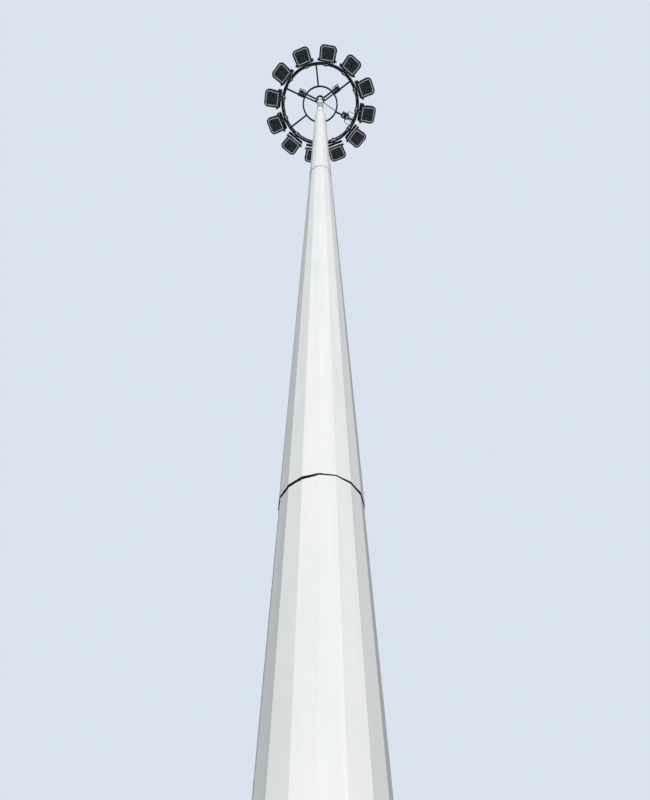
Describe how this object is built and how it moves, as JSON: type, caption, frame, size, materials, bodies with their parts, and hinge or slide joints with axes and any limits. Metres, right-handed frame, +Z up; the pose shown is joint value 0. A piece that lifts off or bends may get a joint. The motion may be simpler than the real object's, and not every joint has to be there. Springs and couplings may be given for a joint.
{
  "type": "high mast floodlight tower",
  "caption": "Tapered steel high mast with a cable-hoisted lowering ring carrying a circle of tilting floodlights under a three-armed sheave head.",
  "frame": {"origin": "centre of the base flange underside, on the mast axis at ground level", "axes": "+Z up along the mast axis, -Y the front (the side the mast was seen from), +X to the right of that front view"},
  "size_m": [2.8282, 2.8282, 22.062],
  "materials": {
    "galvanised_steel": "hot-dip galvanised, semi-gloss",
    "head_steel": "dark weathered galvanising",
    "lamp_housing": "die-cast, black powder coat with a fine texture",
    "lamp_glass": "toughened clear glass over a dark interior",
    "lamp_yoke": "black powder coat",
    "black_plastic": "moulded black nylon",
    "sheave": "machined, greased groove",
    "stainless_steel": "satin",
    "wire_rope": "stranded wire, lightly greased",
    "box_enclosure": "dark grey powder coat",
    "cable_sheath": "black sheath"
  },
  "bodies": {
    "mast": {"base_flange": "galvanised_steel", "base_gussets": "galvanised_steel", "docking_collar": "head_steel", "door_cover": "galvanised_steel", "door_frame": "galvanised_steel", "head_arms": "head_steel", "head_hub": "head_steel", "head_top_plate": "head_steel", "head_tube": "galvanised_steel", "hoist_rope_drops": "wire_rope", "hoist_rope_leads": "wire_rope", "hub_cable_gland": "black_plastic", "mast_section_lower": "galvanised_steel", "mast_section_middle": "galvanised_steel", "mast_section_upper": "galvanised_steel", "power_cable": "cable_sheath", "shaft_reducer": "galvanised_steel", "sheave_axles": "stainless_steel"},
    "lowering_ring": {"cable_clamp": "head_steel", "hoist_brackets": "head_steel", "inner_ring": "head_steel", "junction_box": "box_enclosure", "lamp_brackets": "lamp_yoke", "lamp_knobs": "head_steel", "lamp_yokes": "lamp_yoke", "outer_ring": "head_steel", "ring_leads": "cable_sheath", "ring_spokes": "head_steel", "rope_sockets": "stainless_steel"},
    "floodlight_01": {"lamp_housing_01": "lamp_housing", "lamp_glass_01": "lamp_glass"},
    "floodlight_02": {"lamp_housing_02": "lamp_housing", "lamp_glass_02": "lamp_glass"},
    "floodlight_03": {"lamp_housing_03": "lamp_housing", "lamp_glass_03": "lamp_glass"},
    "floodlight_04": {"lamp_housing_04": "lamp_housing", "lamp_glass_04": "lamp_glass"},
    "floodlight_05": {"lamp_housing_05": "lamp_housing", "lamp_glass_05": "lamp_glass"},
    "floodlight_06": {"lamp_housing_06": "lamp_housing", "lamp_glass_06": "lamp_glass"},
    "floodlight_07": {"lamp_housing_07": "lamp_housing", "lamp_glass_07": "lamp_glass"},
    "floodlight_08": {"lamp_housing_08": "lamp_housing", "lamp_glass_08": "lamp_glass"},
    "floodlight_09": {"lamp_housing_09": "lamp_housing", "lamp_glass_09": "lamp_glass"},
    "floodlight_10": {"lamp_housing_10": "lamp_housing", "lamp_glass_10": "lamp_glass"},
    "floodlight_11": {"lamp_housing_11": "lamp_housing", "lamp_glass_11": "lamp_glass"},
    "floodlight_12": {"lamp_housing_12": "lamp_housing", "lamp_glass_12": "lamp_glass"},
    "sheave_inner_1": {"sheave_inner_1": "sheave"},
    "sheave_inner_2": {"sheave_inner_2": "sheave"},
    "sheave_inner_3": {"sheave_inner_3": "sheave"},
    "sheave_outer_1": {"sheave_outer_1": "sheave"},
    "sheave_outer_2": {"sheave_outer_2": "sheave"},
    "sheave_outer_3": {"sheave_outer_3": "sheave"}
  },
  "joints": [
    {"name": "ring_travel", "type": "slide", "parent": "mast", "child": "lowering_ring", "axis": [0, 0, 1], "range_m": [-20, 0], "deforming": ["hoist_rope_drops", "power_cable"]},
    {"name": "floodlight_01_tilt", "type": "hinge", "parent": "lowering_ring", "child": "floodlight_01", "pos_m": [0.22716, -1.05066, 20.98], "axis": [-0.9774, -0.2113, 0], "range_deg": [-15, 50]},
    {"name": "floodlight_02_tilt", "type": "hinge", "parent": "lowering_ring", "child": "floodlight_02", "pos_m": [0.72205, -0.79631, 20.98], "axis": [-0.7408, -0.6717, 0], "range_deg": [-15, 50]},
    {"name": "floodlight_03_tilt", "type": "hinge", "parent": "lowering_ring", "child": "floodlight_03", "pos_m": [1.02347, -0.3286, 20.98], "axis": [-0.3057, -0.9521, 0], "range_deg": [-15, 50]},
    {"name": "floodlight_04_tilt", "type": "hinge", "parent": "lowering_ring", "child": "floodlight_04", "pos_m": [1.05066, 0.22716, 20.98], "axis": [0.2113, -0.9774, 0], "range_deg": [-15, 50]},
    {"name": "floodlight_05_tilt", "type": "hinge", "parent": "lowering_ring", "child": "floodlight_05", "pos_m": [0.79631, 0.72205, 20.98], "axis": [0.6717, -0.7408, 0], "range_deg": [-15, 50]},
    {"name": "floodlight_06_tilt", "type": "hinge", "parent": "lowering_ring", "child": "floodlight_06", "pos_m": [0.3286, 1.02347, 20.98], "axis": [0.9521, -0.3057, 0], "range_deg": [-15, 50]},
    {"name": "floodlight_07_tilt", "type": "hinge", "parent": "lowering_ring", "child": "floodlight_07", "pos_m": [-0.22716, 1.05066, 20.98], "axis": [0.9774, 0.2113, 0], "range_deg": [-15, 50]},
    {"name": "floodlight_08_tilt", "type": "hinge", "parent": "lowering_ring", "child": "floodlight_08", "pos_m": [-0.72205, 0.79631, 20.98], "axis": [0.7408, 0.6717, 0], "range_deg": [-15, 50]},
    {"name": "floodlight_09_tilt", "type": "hinge", "parent": "lowering_ring", "child": "floodlight_09", "pos_m": [-1.02347, 0.3286, 20.98], "axis": [0.3057, 0.9521, 0], "range_deg": [-15, 50]},
    {"name": "floodlight_10_tilt", "type": "hinge", "parent": "lowering_ring", "child": "floodlight_10", "pos_m": [-1.05066, -0.22716, 20.98], "axis": [-0.2113, 0.9774, 0], "range_deg": [-15, 50]},
    {"name": "floodlight_11_tilt", "type": "hinge", "parent": "lowering_ring", "child": "floodlight_11", "pos_m": [-0.79631, -0.72205, 20.98], "axis": [-0.6717, 0.7408, 0], "range_deg": [-15, 50]},
    {"name": "floodlight_12_tilt", "type": "hinge", "parent": "lowering_ring", "child": "floodlight_12", "pos_m": [-0.3286, -1.02347, 20.98], "axis": [-0.9521, 0.3057, 0], "range_deg": [-15, 50]},
    {"name": "sheave_inner_1_spin", "type": "hinge", "parent": "mast", "child": "sheave_inner_1", "pos_m": [0.07145, -0.04605, 21.96], "axis": [0.5417, 0.8406, 0], "continuous": true},
    {"name": "sheave_inner_2_spin", "type": "hinge", "parent": "mast", "child": "sheave_inner_2", "pos_m": [0.00415, 0.0849, 21.96], "axis": [-0.9988, 0.0489, 0], "continuous": true},
    {"name": "sheave_inner_3_spin", "type": "hinge", "parent": "mast", "child": "sheave_inner_3", "pos_m": [-0.0756, -0.03885, 21.96], "axis": [0.4571, -0.8894, 0], "continuous": true},
    {"name": "sheave_outer_1_spin", "type": "hinge", "parent": "mast", "child": "sheave_outer_1", "pos_m": [0.43284, -0.27894, 21.99], "axis": [0.5417, 0.8406, 0], "continuous": true},
    {"name": "sheave_outer_2_spin", "type": "hinge", "parent": "mast", "child": "sheave_outer_2", "pos_m": [0.02515, 0.51432, 21.99], "axis": [-0.9988, 0.0489, 0], "continuous": true},
    {"name": "sheave_outer_3_spin", "type": "hinge", "parent": "mast", "child": "sheave_outer_3", "pos_m": [-0.45799, -0.23537, 21.99], "axis": [0.4571, -0.8894, 0], "continuous": true}
  ],
  "couplings": [
    {"joint": "sheave_inner_1_spin", "follows": "ring_travel", "rad_per_m": -22.222},
    {"joint": "sheave_inner_2_spin", "follows": "ring_travel", "rad_per_m": -22.222},
    {"joint": "sheave_inner_3_spin", "follows": "ring_travel", "rad_per_m": -22.222},
    {"joint": "sheave_outer_1_spin", "follows": "ring_travel", "rad_per_m": -15.385},
    {"joint": "sheave_outer_2_spin", "follows": "ring_travel", "rad_per_m": -15.385},
    {"joint": "sheave_outer_3_spin", "follows": "ring_travel", "rad_per_m": -15.385}
  ]
}
